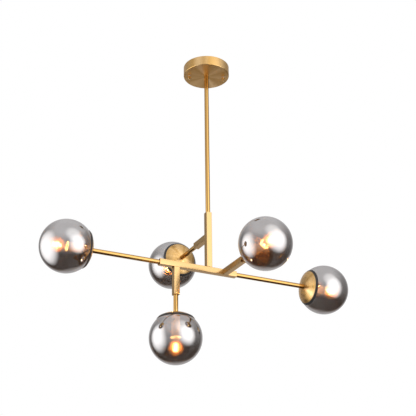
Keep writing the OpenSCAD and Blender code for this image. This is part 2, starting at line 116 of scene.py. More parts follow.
# ---- Meshes ----
# A ring of directions for turned(): corner moves a point to a corner of an n-sided section, around rounds that corner
# off.
def ring(steps, sides=0):
    if not sides:
        angle = np.linspace(0, 2 * np.pi, steps + 1)
        around = np.stack([np.cos(angle), np.sin(angle)], 1)
        return np.zeros_like(around), around
    per = steps // sides
    half = np.pi / sides
    middle = np.repeat(np.arange(sides) * 2 * half + half, per)
    angle = middle + np.tile(np.linspace(-half, half, per), sides)
    corner = np.stack([np.cos(middle), np.sin(middle)], 1) / np.cos(half)
    around = np.stack([np.cos(angle), np.sin(angle)], 1)
    return np.vstack([corner, corner[:1]]), np.vstack([around, around[:1]])


# A profile of rows (radius, height, corner radius) carried round the z axis. Point = corner * (radius - rounding)
# + around * rounding, at the row's height; a round section has rounding equal to the radius.
def turned(profile, steps=96, sides=0, twist=0.0):
    profile = np.asarray(profile, float)
    radius, height = profile[:, 0], profile[:, 1]
    rounding = profile[:, 2] if profile.shape[1] > 2 else radius
    corner, around = ring(steps, sides)
    if twist:
        c, s = math.cos(twist), math.sin(twist)
        spin = np.array([[c, s], [-s, c]])
        corner, around = corner @ spin, around @ spin
    flat = corner[:, None] * (radius - rounding)[None, :, None] + around[:, None] * rounding[None, :, None]
    return np.concatenate([flat, np.broadcast_to(height[None, :, None], flat.shape[:2] + (1,))], 2)


# A round section carried along a flat path: one side of the section keeps to the normal of the path's own plane
def wire(path, radius, steps=12):
    path = np.asarray(path, float)
    radius = np.broadcast_to(np.asarray(radius, float), (len(path),))
    ahead = np.gradient(path, axis=0)
    ahead /= np.linalg.norm(ahead, axis=1)[:, None]
    side = np.linalg.svd(path - path.mean(0))[2][2]
    sides = side - ahead * (ahead @ side)[:, None]
    sides /= np.linalg.norm(sides, axis=1)[:, None]
    ups = np.cross(ahead, sides)
    angle = np.linspace(0, 2 * np.pi, steps + 1)
    body = path[None] + radius[None, :, None] * (np.cos(angle)[:, None, None] * sides[None]
                                                  + np.sin(angle)[:, None, None] * ups[None])
    first, last = np.broadcast_to(path[0], body[:, :1].shape), np.broadcast_to(path[-1], body[:, :1].shape)
    return np.concatenate([first, body, last], 1)


# A run of corners with each one rounded to its own radius: rows are (r, h, rounding)
def rounded(corners, parts=5, closed=True):
    rows = [np.array(c[:2], float) for c in corners]
    out = []
    for i, row in enumerate(rows):
        bend = corners[i][2] if len(corners[i]) > 2 else 0
        if not bend or (not closed and i in (0, len(rows) - 1)):
            out.append(row[None])
            continue
        before, after = rows[i - 1] - row, rows[(i + 1) % len(rows)] - row
        a, b = before / np.linalg.norm(before), after / np.linalg.norm(after)
        half = math.acos(max(-1, min(1, float(a @ b)))) / 2
        reach = bend / math.tan(half)
        middle = row + (a + b) / np.linalg.norm(a + b) * bend / math.sin(half)
        start, stop = row + a * reach - middle, row + b * reach - middle
        t = np.linspace(0, 1, parts + 1)[:, None]
        swing = math.pi - 2 * half
        arc = (np.sin((1 - t) * swing) * start + np.sin(t * swing) * stop) / math.sin(swing)
        out.append(middle + arc)
    points = np.vstack(out)
    return np.vstack([points, points[:1]]) if closed else points


# Moves points in millimetres from a head's frame, or any frame given by an origin and a matrix, to the row frame
def placed(points, origin=(0, 0, 0), matrix=np.eye(3)):
    return points @ np.asarray(matrix, float).T * mm + np.asarray(origin, float)


def onHead(points, arm):
    return placed(points, arms[arm]["centre"], arms[arm]["matrix"])


# The cells of a grid of point numbers as quads
def cells(index):
    return np.stack([index[:-1, :-1], index[1:, :-1], index[1:, 1:], index[:-1, 1:]], 2).reshape(-1, 4)


# A piece from grids of points: each grid's cells become quads, and doubles at seams and poles are merged
def piece(name, grids, body, nodes=(), finishes=(), sharp=35, paint=None):
    corners, quads, marks = [], [], []
    count = 0
    for number, points in enumerate(grids):
        u, v = points.shape[:2]
        quads.append(cells(count + np.arange(u * v).reshape(u, v)))
        marks.append(np.full((u - 1) * (v - 1), number if paint is None else paint[number]))
        corners.append(points.reshape(-1, 3))
        count += u * v
    mesh = bpy.data.meshes.new(name)
    mesh.from_pydata(np.vstack(corners), [], np.vstack(quads).tolist())
    for finish in finishes:
        mesh.materials.append(finish)
    if len(finishes) > 1:
        mesh.polygons.foreach_set("material_index", np.concatenate(marks).astype(np.int32))
    work = bmesh.new()
    work.from_mesh(mesh)
    bmesh.ops.remove_doubles(work, verts=work.verts, dist=2e-7)
    bmesh.ops.dissolve_degenerate(work, edges=work.edges, dist=1e-8)
    work.to_mesh(mesh)
    work.free()
    mesh.polygons.foreach_set("use_smooth", np.ones(len(mesh.polygons), bool))
    mesh.set_sharp_from_angle(angle=math.radians(sharp))
    made = bpy.data.objects.new(name, mesh)
    scene.collection.objects.link(made)
    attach(made, body)
    if nodes:
        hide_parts(*nodes)
    return made


# ---- Materials ----
# A socket that takes part in Python expressions: each operator adds its Math node
class Signal:
    def __init__(self, graph, socket):
        self.graph, self.socket = graph, socket

    def maths(self, operation, *others):
        return self.graph.node("ShaderNodeMath", {"operation": operation}, dict(enumerate((self,) + others)))

    def __add__(self, other):
        return self.maths("ADD", other)

    def __mul__(self, other):
        return self.maths("MULTIPLY", other)

    def __sub__(self, other):
        return self.maths("SUBTRACT", other)

    def __truediv__(self, other):
        return self.maths("DIVIDE", other)

    def __pow__(self, other):
        return self.maths("POWER", other)

    def clamped(self):
        return self.graph.node("ShaderNodeClamp", {}, {0: self})


# One material's nodes. node() takes a node's type, its settings, which are set first, and the values or links of its
# sockets.
class Graph:
    def __init__(self, name):
        self.material = bpy.data.materials.new(name)
        self.material.use_nodes = True
        self.nodes, self.links = self.material.node_tree.nodes, self.material.node_tree.links
        self.nodes.clear()

    def node(self, kind, settings, values, output=0):
        made = self.nodes.new(kind)
        for key, value in settings.items():
            setattr(made, key, value)
        for key, value in values.items():
            socket = made.inputs[key]
            if isinstance(value, Signal):
                self.links.new(value.socket, socket)
            elif isinstance(value, (tuple, list)) and len(value) == 3 and socket.type == "RGBA":
                socket.default_value = tuple(value) + (1.0,)
            else:
                socket.default_value = value
        return Signal(self, made.outputs[output]) if len(made.outputs) else None

    # Object coordinates, moved and turned into the frame given by an origin and a matrix
    def place(self, origin=None, matrix=None):
        at = self.node("ShaderNodeTexCoord", {}, {}, "Object")
        if origin is None:
            return at
        back = Matrix(matrix.tolist()).transposed() if matrix is not None else Matrix.Identity(3)
        shift = -(back @ Vector(origin))
        return self.node("ShaderNodeMapping", {}, {0: at, 1: tuple(shift), 2: tuple(back.to_euler())})

    def parts(self, vector):
        split = self.node("ShaderNodeSeparateXYZ", {}, {0: vector})
        outs = split.socket.node.outputs
        return [Signal(self, outs[i]) for i in range(3)]

    def vector(self, x, y, z):
        return self.node("ShaderNodeCombineXYZ", {}, {0: x, 1: y, 2: z})

    def vmaths(self, operation, *values, output=0):
        return self.node("ShaderNodeVectorMath", {"operation": operation}, dict(enumerate(values)), output)

    def noise(self, vector, scale, detail=2.0):
        values = {"Vector": vector, "Scale": scale, "Detail": detail, "Roughness": 0.5}
        return self.node("ShaderNodeTexNoise", {}, values)

    # Noise along one value only, as even as a turned or drawn surface is along its grooves
    def streaks(self, value, scale, detail=1.0):
        values = {"W": value, "Scale": scale, "Detail": detail}
        return self.node("ShaderNodeTexNoise", {"noise_dimensions": "1D"}, values)

    def mix(self, factor, a, b):
        return self.node("ShaderNodeMix", {"data_type": "RGBA"}, {0: factor, 6: a, 7: b}, 2)

    def between(self, value, low, high, fromLow=0.0, fromHigh=1.0, style="LINEAR"):
        return self.node("ShaderNodeMapRange", {"interpolation_type": style},
                         {0: value, 1: fromLow, 2: fromHigh, 3: low, 4: high})

    def bump(self, height, strength, distance):
        return self.node("ShaderNodeBump", {}, {"Height": height, "Strength": strength, "Distance": distance})

    def surface(self, values):
        self.shader = self.node("ShaderNodeBsdfPrincipled", {}, values)
        self.node("ShaderNodeOutputMaterial", {}, {0: self.shader})
        return self.material


def toWorld(g, vector, matrix):
    if matrix is not None:
        m = np.asarray(matrix)
        x, y, z = g.parts(vector)
        rows = [x * float(m[i, 0]) + y * float(m[i, 1]) + z * float(m[i, 2]) for i in range(3)]
        vector = g.vector(*rows)
    settings = {"vector_type": "VECTOR", "convert_from": "OBJECT", "convert_to": "WORLD"}
    return g.node("ShaderNodeVectorTransform", settings, {0: vector})


# Fine grooves: the normal leans by a small random amount across them. Leaning way = groove x normal, made one long.
def leaning(g, groove, matrix, amount):
    normal = g.node("ShaderNodeNewGeometry", {}, {}, "Normal")
    across = g.vmaths("NORMALIZE", g.vmaths("CROSS_PRODUCT", toWorld(g, groove, matrix), normal))
    moved = g.node("ShaderNodeVectorMath", {"operation": "SCALE"}, {0: across, "Scale": amount})
    return g.vmaths("NORMALIZE", g.vmaths("ADD", normal, moved))


brass = {
    "colour": (0.58, 0.35, 0.115), "worn": (0.67, 0.43, 0.17), "dull": (0.45, 0.25, 0.075),
    "lean": 0.22, "rough": 0.34, "grooveScale": 2600.0, "bandScale": 160.0, "cloudScale": 14.0,
    "slant": 0.73,  # how much a step along the axis counts against a step outwards
    # paintedSheen is the bright colour of the painted highlight on spun faces; bows shape its sectors
    "paintedSheen": (0.86, 0.60, 0.31), "bows": [(45, 60.0, 0.7), (100, 24.0, 0.3), (160, 40.0, 0.2)],
}


# The bow-tie sheen of a spun face, a painted highlight in the base colour: sum of weight * |cos(angle - its angle)| ^
# sharpness, broken up by noise around the turn. Each row of bows is an angle in degrees, a sharpness and a weight.
def paintedSheenSectors(g, x, y):
    total = g.between(g.noise(g.vector(x, y, 0.0), 2.6, 1.0), 0.0, 0.3, 0.42, 0.62)
    for degrees, sharpness, weight in brass["bows"]:
        c, s = math.cos(math.radians(degrees)), math.sin(math.radians(degrees))
        total = total + (x * c + y * s).maths("ABSOLUTE") ** sharpness * weight
    return total.clamped()


# Spun brass with grooves round the piece's own axis, and a painted sheen of bright sectors in its colour
def spunBrassPaintedSheen(name, origin, matrix, lean=brass["lean"], rough=brass["rough"]):
    g = Graph(name)
    at = g.place(origin, matrix)
    x, y, z = g.parts(at)
    radius = (x * x + y * y) ** 0.5
    meridian = radius + z * brass["slant"]
    fine = g.streaks(meridian, brass["grooveScale"], 2.0)
    broad = g.streaks(meridian, brass["bandScale"], 2.0)
    cloud = g.noise(at, brass["cloudScale"], 3.0)
    tone = g.mix(cloud * 0.7, brass["colour"], brass["dull"])
    tone = g.mix(g.between(broad, 0.0, 0.35, 0.35, 0.75), tone, brass["worn"])
    # Painted highlight: bright sectors round the axis are mixed into the base colour, and kept off the axis itself
    offAxis = g.between(radius, 0.0, 1.0, 0.004, 0.012)  # no sheen close to the axis, where its sectors would meet
    tone = g.mix(paintedSheenSectors(g, x / radius, y / radius) * offAxis, tone, brass["paintedSheen"])
    normal = leaning(g, g.vector(y * -1.0, x, 0.0), matrix, (fine - 0.5) * (2.0 * lean))
    return g.surface({"Base Color": tone, "Metallic": 1.0, "Normal": normal,
                      "Roughness": g.between(broad, rough - 0.03, rough + 0.06, 0.3, 0.7)})


drawn = {"grooveScale": 1500.0, "slant": 0.61, "cloudAcross": 26.0, "cloudAlong": 2.5}


# Drawn brass of the bars and rods: faint grooves and long clouds run along the piece
def drawnBrass(name, along, lean, rough, colour=brass["colour"], dull=brass["dull"]):
    g = Graph(name)
    at = g.place()
    x, y, z = g.parts(at)
    axis = int(np.argmax(np.abs(along)))
    side = [s for i, s in enumerate((x, y, z)) if i != axis]
    fine = g.streaks(side[0] + side[1] * drawn["slant"], drawn["grooveScale"])
    stretch = [drawn["cloudAcross"]] * 3
    stretch[axis] = drawn["cloudAlong"]
    cloud = g.noise(g.vmaths("MULTIPLY", at, tuple(stretch)), 1.0, 3.0)
    tone = g.mix(g.between(cloud, 0.0, 0.5, 0.3, 0.8), colour, dull)
    normal = leaning(g, g.vector(*[float(c) for c in along]), None, (fine - 0.5) * (2.0 * lean))
    return g.surface({"Base Color": tone, "Metallic": 1.0, "Normal": normal,
                      "Roughness": g.between(cloud, rough - 0.03, rough + 0.07, 0.3, 0.7)})


# Plain turned or pressed metal with a fine grain
def plainMetal(name, colour, rough, dark=0.7, scale=60.0):
    g = Graph(name)
    at = g.place()
    cloud = g.noise(at, scale, 4.0)
    grain = g.noise(at, 1800.0, 2.0)
    tone = g.mix(g.between(cloud, 0.0, 1.0, 0.35, 0.75), colour, tuple(c * dark for c in colour))
    return g.surface({"Base Color": tone, "Metallic": 1.0, "Normal": g.bump(grain, 0.15, 0.00005),
                      "Roughness": g.between(cloud, rough - 0.05, rough + 0.1, 0.3, 0.7)})


# Moulded plastic, rubber or enamel: a soft grain and slight marks. A glow given here is painted light in its emission.
def moulded(name, colour, rough, dark=0.8, bump=0.2, grainScale=900.0, coat=0.0, glow=None, strength=0.0):
    g = Graph(name)
    at = g.place()
    cloud = g.noise(at, 45.0, 4.0)
    grain = g.noise(at, grainScale, 3.0)
    tone = g.mix(g.between(cloud, 0.0, 1.0, 0.35, 0.75), colour, tuple(c * dark for c in colour))
    values = {"Base Color": tone, "Roughness": g.between(cloud, rough - 0.05, rough + 0.08, 0.3, 0.7),
              "Coat Weight": coat, "Normal": g.bump(grain, bump, 0.0001)}
    if glow:
        values["Emission Color"] = g.mix(cloud, glow, tuple(c * 0.85 for c in glow))
        values["Emission Strength"] = strength
        g.material.cycles.emission_sampling = "NONE"
    return g.surface(values)


glass = {
    "mirror": (0.525, 0.515, 0.52), "deep": (0.46, 0.44, 0.435), "rough": 0.02,
    "alpha": 0.84, "rimAlpha": 0.97, "innerAlpha": 0.12,
    "mouthThin": 0.88, "mouthAt": 0.054,  # the coat's share left near the mouth, and how high that is in metres
}


# Smoked half-mirror coat on the outside of a globe: a little thinner towards its mouth, denser where it is seen edge on
def smokedGlass(name, origin, matrix):
    g = Graph(name)
    at = g.place(origin, matrix)
    x, y, z = g.parts(at)
    cloud = g.noise(at, 9.0, 2.0)
    tone = g.mix(g.between(cloud, 0.0, 0.6, 0.35, 0.7), glass["mirror"], glass["deep"])
    facing = g.node("ShaderNodeLayerWeight", {}, {"Blend": 0.5}, "Facing")
    rim = g.between(facing, glass["alpha"], glass["rimAlpha"], 0.35, 0.95, "SMOOTHSTEP")
    edge = g.between(z, 1.0, glass["mouthThin"], 0.0, glass["mouthAt"])
    return g.surface({"Base Color": tone, "Metallic": 1.0, "Alpha": edge * rim,
                      "Roughness": g.between(cloud, glass["rough"] - 0.01, glass["rough"] + 0.02, 0.3, 0.7)})


# Thin clear or tinted glass, with a faint glow of its own where it is lit from inside
def clearGlass(name, colour, alpha, rough=0.02, glow=None, strength=0.0):
    g = Graph(name)
    at = g.place()
    cloud = g.noise(at, 30.0, 2.0)
    values = {"Base Color": g.mix(cloud, colour, tuple(c * 0.85 for c in colour)), "Roughness": rough,
              "Alpha": g.between(cloud, alpha * 0.92, alpha * 1.08, 0.3, 0.7)}
    if glow:
        values["Emission Color"] = g.mix(cloud, glow, tuple(c * 0.9 for c in glow))
        values["Emission Strength"] = strength
    return g.surface(values)


# A surface that shines between two colours, and lets light through where alpha is under 1
def glowing(name, hot, cool, strength, scale=300.0, alpha=1.0):
    g = Graph(name)
    at = g.place()
    cloud = g.noise(at, scale, 2.0)
    values = {"Base Color": g.mix(cloud, hot, cool), "Roughness": 0.4, "Emission Strength": strength,
              "Emission Color": g.mix(g.between(cloud, 0.0, 1.0, 0.3, 0.7), hot, cool)}
    if alpha < 1.0:
        values["Alpha"] = g.between(cloud, alpha * 0.9, alpha * 1.1, 0.3, 0.7)
    g.material.cycles.emission_sampling = "NONE"  # the lamp's own light object does the lighting
    return g.surface(values)


# Finishes that several pieces share
steel = plainMetal("zincSteel", (0.62, 0.62, 0.60), 0.32, 0.72)
nickel = plainMetal("nickelShell", (0.72, 0.69, 0.64), 0.2, 0.75)
# The bars' plugs are brass coloured dark brown: painted shade on the bars' end faces
plugPaintedShade = plainMetal("plugInPaintedShade", (0.20, 0.115, 0.055), 0.38, 0.6)
springBrass = plainMetal("clawBrass", (0.50, 0.34, 0.15), 0.25, 0.5)
rubber = moulded("blackRubber", (0.018, 0.017, 0.017), 0.55, 0.7, 0.3, 700.0)
# The holders' enamel glows orange by itself: painted light standing in for the lamps' light on them
enamelWithPaintedGlow = moulded("holderEnamelPaintedGlow", (0.78, 0.52, 0.28), 0.2, 0.8, 0.05, 500.0, 0.6, (1.0, 0.45, 0.15), 0.8)
creamRim = moulded("holderRim", (0.90, 0.80, 0.58), 0.3, 0.9, 0.05, 500.0, coat=0.4)
nylon = moulded("whiteNylon", (0.80, 0.79, 0.76), 0.5, 0.9)
sleeve = moulded("leadSleeve", (0.66, 0.60, 0.50), 0.45, 0.8)
screwBrass = plainMetal("screwBrass", (0.72, 0.52, 0.24), 0.25, 0.7)
print("materials: plain ones ready")

# ---- Canopy ----
canopySize = {"radius": 73.0, "height": 32.5, "wall": 1.2, "edge": 3.0, "rimGap": 0.3, "bead": 0.9, "hole": 5.06}


def canopyShell(c):
    r, h, w, e = c["radius"], c["height"], c["wall"], c["edge"]
    corners = [(c["hole"], -h), (r, -h, e), (r, -c["rimGap"] - c["bead"]), (r, -c["rimGap"], 0.4),
               (r - w - 0.5, -c["rimGap"], 0.5), (r - w - 0.5, -c["rimGap"] - c["bead"], 0.4),
               (r - w, -c["rimGap"] - 1.4 * c["bead"]), (r - w, -h + w, e - w), (c["hole"], -h + w)]
    return turned(rounded(corners, 8), 160)


canopyFinish = spunBrassPaintedSheen("spunCanopyPaintedSheen", (0, 0, 0), np.eye(3))
piece("canopyShell", [placed(canopyShell(canopySize))], "canopy", ["canopy"], [canopyFinish])

# ---- Cap nuts and washers ----
capNut = {"radius": 5.0, "height": 11.0, "tip": 2.6, "flutes": 20, "fluteDepth": 0.3, "bore": 2.06, "depth": 8.0}


# Turned knob with a knurl: radius = profile radius - depth * (1 + cos(flutes * angle)) / 2, fading out at both ends
def knurledNut(c):
    r, h, tip = c["radius"], c["height"], c["tip"]
    ball = np.linspace(-90, 52, 14) * math.pi / 180
    ballRows = np.stack([tip * np.cos(ball), -h - 0.6 * tip + tip * np.sin(ball)], 1)
    neck = ballRows[-1][0]
    corners = [(neck, ballRows[-1][1]), (neck, -h + 0.25, 0.2), (r - 0.9, -h, 0.3), (r, -h + 0.9, 0.3),
               (r, -h / 2 - 0.01), (r, -h / 2), (r, -0.6, 0.25), (r - 0.6, 0, 0.2),
               (c["bore"], 0), (c["bore"], -c["depth"]), (0, -c["depth"] - 1.0)]
    body = rounded(corners, 4, False)
    tall = np.linspace(-h + 1.3, -1.3, 12)
    inside = (body[:, 1] > -h + 1.0) & (body[:, 1] < -1.0) & (body[:, 0] > r - 0.01)
    first = int(np.argmax(body[:, 0] > r - 0.001))
    last = len(body) - 1 - int(np.argmax(body[::-1, 0] > r - 0.001))
    rows = np.vstack([ballRows, body[1:first + 1], np.stack([np.full(12, r), tall], 1), body[last:]])
    points = turned(rows, c["flutes"] * 8)
    angle = np.linspace(0, 2 * np.pi, points.shape[0])
    cut = np.clip((np.minimum(rows[:, 1] + h, -rows[:, 1]) - 0.9) / 0.5, 0, 1) * (rows[:, 0] > r - 0.05)
    shrink = 1 - c["fluteDepth"] / r * (0.5 + 0.5 * np.cos(angle * c["flutes"]))[:, None] * cut[None, :]
    points[..., :2] *= shrink[..., None]
    return points


studs = {}
for side in ("left", "right"):
    low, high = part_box("cap_nut_" + side)
    studs[side] = ((low.x + high.x) / 2, (low.y + high.y) / 2, high.z)
    node = "cap_nut_" + side
    finish = plainMetal("capNutBrass_" + side, (0.62, 0.42, 0.19), 0.22, 0.55, 120.0)
    piece("capNut_" + side, [placed(knurledNut(capNut), studs[side])], node, [node], [finish])
washer = turned(rounded([(2.4, 0.02, 0.1), (4.5, 0.02, 0.3), (4.5, 0.78, 0.3), (2.4, 0.78, 0.1)], 4), 64)
piece("nutWashers", [placed(washer, at) for at in studs.values()], "canopy", ["nut_washers"], [nylon])
print("ceiling fitting: canopy, cap nuts, washers")

# ---- Stem and rods ----
rodSize = {"radius": 7.0, "bore": 5.05, "chamfer": 0.5, "soft": 0.15}


# A tube between two heights with small chamfers on its ends
def tube(c, low, high):
    r, b, e = c["radius"], c["bore"], c["chamfer"]
    soft = c["soft"]
    corners = [(b, low), (r - e, low, soft), (r, low + e, soft), (r, high - e, soft), (r - e, high, soft), (b, high)]
    return turned(rounded(corners, 3), 64)


low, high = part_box("stem")
finish = drawnBrass("drawnStem", (0, 0, 1), 0.02, 0.14)
piece("stemTube", [placed(tube(rodSize, low.z / mm, high.z / mm))], "stem", ["stem"], [finish])
for arm in arms:
    low, high = span("rod_" + arm, arm)
    finish = drawnBrass("drawnRod_" + arm, tuple(arms[arm]["outward"]), 0.02, 0.14)
    piece("rodTube_" + arm, [onHead(tube(rodSize, low, high), arm)], "stem", ["rod_" + arm], [finish])

# ---- Square bars ----
barSize = {"half": 8.75, "wall": 1.5, "corner": 0.9, "innerCorner": 0.35, "bevel": 0.25}
barColours = {"colour": (0.57, 0.375, 0.17), "dull": (0.46, 0.285, 0.11)}


# A square tube with rounded edges between two places along its axis, small bevels at its cut ends
def squareTube(c, low, high):
    r, w, k, e = c["half"], c["wall"], c["corner"], c["bevel"]
    inner, small = r - w, c["innerCorner"]
    rows = [(inner, low, small), (r - e, low, k - e), (r, low + e, k), (r, high - e, k), (r - e, high, k - e),
            (inner, high, small), (inner, low, small)]
    return turned(rows, 4 * 9, 4)


bars = {
    "main_bar": (1, 0, 0), "upright_bar": (0, 0, 1), "front_bar": (0, -1, 0), "back_bar": (0, 1, 0),
    "down_bar": (0, 0, -1),
}
for node, along in bars.items():
    low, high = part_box(node)
    middle, size = (low + high) / 2, high - low
    z = Vector(along)
    x = Vector((0, 1, 0)) if abs(z.y) < 0.5 else Vector((1, 0, 0))
    turn = np.array(Matrix((x, z.cross(x), z)).transposed())
    half = abs(size.dot(z)) / 2 / mm
    finish = drawnBrass("polished_" + node, along, 0.012, 0.22, **barColours)
    grid = placed(squareTube(barSize, -half, half), middle, turn)
    piece(node.replace("_bar", "Bar"), [grid], "stem", [node], [finish], 30)
print("stem, rods and bars")

# ---- Caps ----
# The dome is part of a sphere: sphere radius = (cap radius^2 + cap height^2) / (2 * cap height)
capSize = {"radius": 50.5, "wall": 1.0, "rim": 0.35, "hole": 5.0}
capSphere = (capSize["radius"] ** 2 + (capTop - capRim) ** 2) / (2 * (capTop - capRim))


# Shallow dome: a sphere's arc from a softened rim to the hole, and the same arc moved in by the wall
def domedCap(c):
    k, low = capSphere, capTop - capSphere

    def skin(inset):
        reach = np.linspace(c["radius"] - inset - 1.2, c["hole"], 44)
        return np.stack([reach, low + np.sqrt((k - inset) ** 2 - reach ** 2)], 1)

    outer, inner = skin(0.0), skin(c["wall"])
    corners = [tuple(inner[0]), (c["radius"] - 1.85, capRim, 0.2), (c["radius"], capRim, c["rim"]), tuple(outer[0])]
    edge = rounded(corners, 5, False)
    outside, inside = np.vstack([edge[1:], outer[1:]]), np.vstack([outer[-1:], inner[::-1], edge[1:2]])
    return [turned(outside, 144), turned(inside, 144)]


# The caps' inside is brass darker than their outside: painted shade in the caps' hollow
capInsidePaintedShade = plainMetal("capInsidePaintedShade", (0.44, 0.25, 0.09), 0.24, 0.7)
for arm in arms:
    finish = spunBrassPaintedSheen("spunCap_" + arm, arms[arm]["centre"], arms[arm]["matrix"], 0.2, 0.3)
    grids = [onHead(g, arm) for g in domedCap(capSize)]
    piece("capDome_" + arm, grids, "stem", ["cap_" + arm], [finish, capInsidePaintedShade])

# ---- Gaskets ----
gasketSize = {"reach": 1.5, "inside": 47.0, "glass": 52.5, "skirt": 54.05, "lip": 0.8, "cap": 50.8}


def gasketRing(c):
    mouth, low = mouthHeight + 0.3, mouthHeight - c["reach"]
    edge = c["skirt"] + c["lip"]
    corners = [(c["inside"], mouth, 0.5), (c["glass"], mouth), (c["skirt"], low, 0.1), (edge, low, 0.25),
               (edge, low + c["lip"], 0.5), (c["cap"], capRim, 0.25), (c["inside"], capRim, 0.6)]
    return turned(rounded(corners, 4), 144)


grids = [onHead(gasketRing(gasketSize), arm) for arm in arms]
piece("gasketRings", grids, "stem", ["gaskets"], [rubber], 50)

# ---- Claws ----
# turn is each head's own turn of its three claws, in degrees
clawSize = {
    "plate": 15.0, "plateThick": 1.5, "hole": 5.0, "wire": 1.6, "shaft": 2.2, "knobRadius": 7.5, "knobThick": 4.0,
    "offset": 39.0, "swing": 14.0, "rise": 14.0, "drop": 16.0,
    "turn": {"left": 10, "right": 30, "front": -30, "back": 30, "down": -5},
}
underCap = capTop - capSphere + math.sqrt((capSphere - capSize["wall"]) ** 2 - clawSize["plate"] ** 2)
plateLow = underCap - clawSize["plateThick"]


def clawPlate(c):
    low, high = plateLow, plateLow + c["plateThick"]
    corners = [(c["hole"], low), (c["plate"], low, 0.3), (c["plate"], high, 0.3), (c["hole"], high)]
    return turned(rounded(corners, 4), 64)


# A claw's arm: a wire out from the plate, a tight bend, and a thicker shaft down to the knob. The path is a quadratic
# curve at the bend, and the section grows from wire to shaft there.
def clawArm(c):
    knobHeight = mouthHeight - c["drop"]
    knob = np.array([c["offset"], 0, knobHeight])
    corner = np.array([c["offset"] + 2, -c["swing"], knobHeight + c["rise"]])
    root = np.array([c["plate"] - 4, -2, plateLow + 0.2])
    t = np.linspace(0, 1, 9)[:, None]
    a, b = corner + (root - corner) * 0.16, corner + (knob - corner) * 0.2
    bend = (1 - t) ** 2 * a + 2 * t * (1 - t) * corner + t ** 2 * b
    path = np.vstack([root, root + (a - root) * 0.5, bend, b + (knob - b) * np.array([[0.4], [0.75]]), knob])
    size = np.concatenate([[c["wire"]] * 2, np.linspace(c["wire"], c["shaft"], 9), [c["shaft"]] * 3])
    return wire(path, size, 20), knob, corner


# A round knob across its shaft's axis: a cushion-edged disc with a raised middle
def clawKnob(c, knob, corner):
    z = (corner - knob) / np.linalg.norm(corner - knob)
    x = np.cross([0, 0, 1.0], z)
    x /= np.linalg.norm(x)
    r, t = c["knobRadius"], c["knobThick"] / 2
    corners = [(0, -t), (r * 0.45, -t, 0.4), (r * 0.5, -t + 0.5, 0.3), (r - 1.6, -t + 0.5, 0.3), (r - 1.2, -t, 0.3),
               (r, -t, 1.4), (r, t, 1.6), (c["shaft"] + 0.6, t, 0.3), (c["shaft"] + 0.3, t + 0.5, 0.2), (0, t + 0.5)]
    return turned(rounded(corners, 5, False), 64) @ np.array([x, np.cross(z, x), z]) + knob


def spun(points, degrees):
    c, s = math.cos(math.radians(degrees)), math.sin(math.radians(degrees))
    return points @ np.array([[c, s, 0], [-s, c, 0], [0, 0, 1]])


armGrid, knobAt, cornerAt = clawArm(clawSize)
knobGrid = clawKnob(clawSize, knobAt, cornerAt)
frames, knobs = [], []
for arm in arms:
    frames.append(onHead(clawPlate(clawSize), arm))
    for third in range(3):
        degrees = clawSize["turn"][arm] + 120 * third
        frames.append(onHead(spun(armGrid, degrees), arm))
        knobs.append(onHead(spun(knobGrid, degrees), arm))
piece("clawFrames", frames, "stem", ["claw_plates"], [springBrass])
finish = plainMetal("knobBrass", (0.70, 0.49, 0.22), 0.2, 0.5, 90.0)
piece("clawKnobs", knobs, "stem", ["claw_knobs"], [finish])
print("caps, gaskets and claws")

# ---- Lampholders ----
holderSize = {
    "radius": 12.5, "rim": 14.5, "rimHeight": 4.0, "top": 9.0, "topHeight": 4.0, "bore": 7.0, "boreDepth": 26.0,
    "thread": 5.0, "threadDepth": 9.0, "wireHole": 3.9, "grooves": (8.0, 38.0),  # grooves: heights above the mouth
}


# Lampholder: the floor of its bore, its rim with the bore, and its body with two shallow grooves and the wire's hole
def lampholderShells(c):
    r, low, high = c["radius"], holderMouth, holderTop
    floor, step, shoulder = low + c["boreDepth"], low + c["rimHeight"] + 0.3, high - c["topHeight"]
    rim = [(c["bore"], floor), (c["bore"], low + 0.6, 0.3), (c["bore"] + 0.6, low, 0.2), (c["rim"] - 0.5, low, 0.4),
           (c["rim"], low + 0.6, 0.3), (c["rim"], low + c["rimHeight"], 0.8), (r - 0.4, step)]
    body = [(r - 0.4, step), (r, low + c["rimHeight"] + 0.8, 0.3)]
    for groove in c["grooves"]:
        at = low + groove
        body += [(r, at - 0.7, 0.2), (r - 0.5, at - 0.35, 0.2), (r - 0.5, at + 0.35, 0.2), (r, at + 0.7, 0.2)]
    body += [(r, shoulder, 1.8), (c["top"], shoulder + 0.4, 0.4), (c["top"], high, 0.4), (c["thread"], high, 0.2),
             (c["thread"], high - c["threadDepth"]), (c["wireHole"], high - c["threadDepth"]),
             (c["wireHole"], floor + 2), (0, floor + 2)]
    contact = [(0, floor), (c["bore"], floor)]
    return [turned(rounded(rows, parts, False), 72) for rows, parts in ((contact, 3), (rim, 4), (body, 4))]


for arm in arms:
    grids = [onHead(g, arm) for g in lampholderShells(holderSize)]
    piece("lampholderBody_" + arm, grids, "stem", ["lampholder_" + arm], [creamRim, enamelWithPaintedGlow],
          paint=[0, 0, 1])

# ---- Lamps ----
lampSize = {
    "thread": 6.95, "pitch": 2.822, "threadDepth": 0.5, "threadFrom": 1.2, "threadTo": 3.2, "threadFade": 2.2,
    "baseLength": 21.0, "tip": 3.6, "neck": 8.0, "ball": 22.5, "length": 52.5,
}


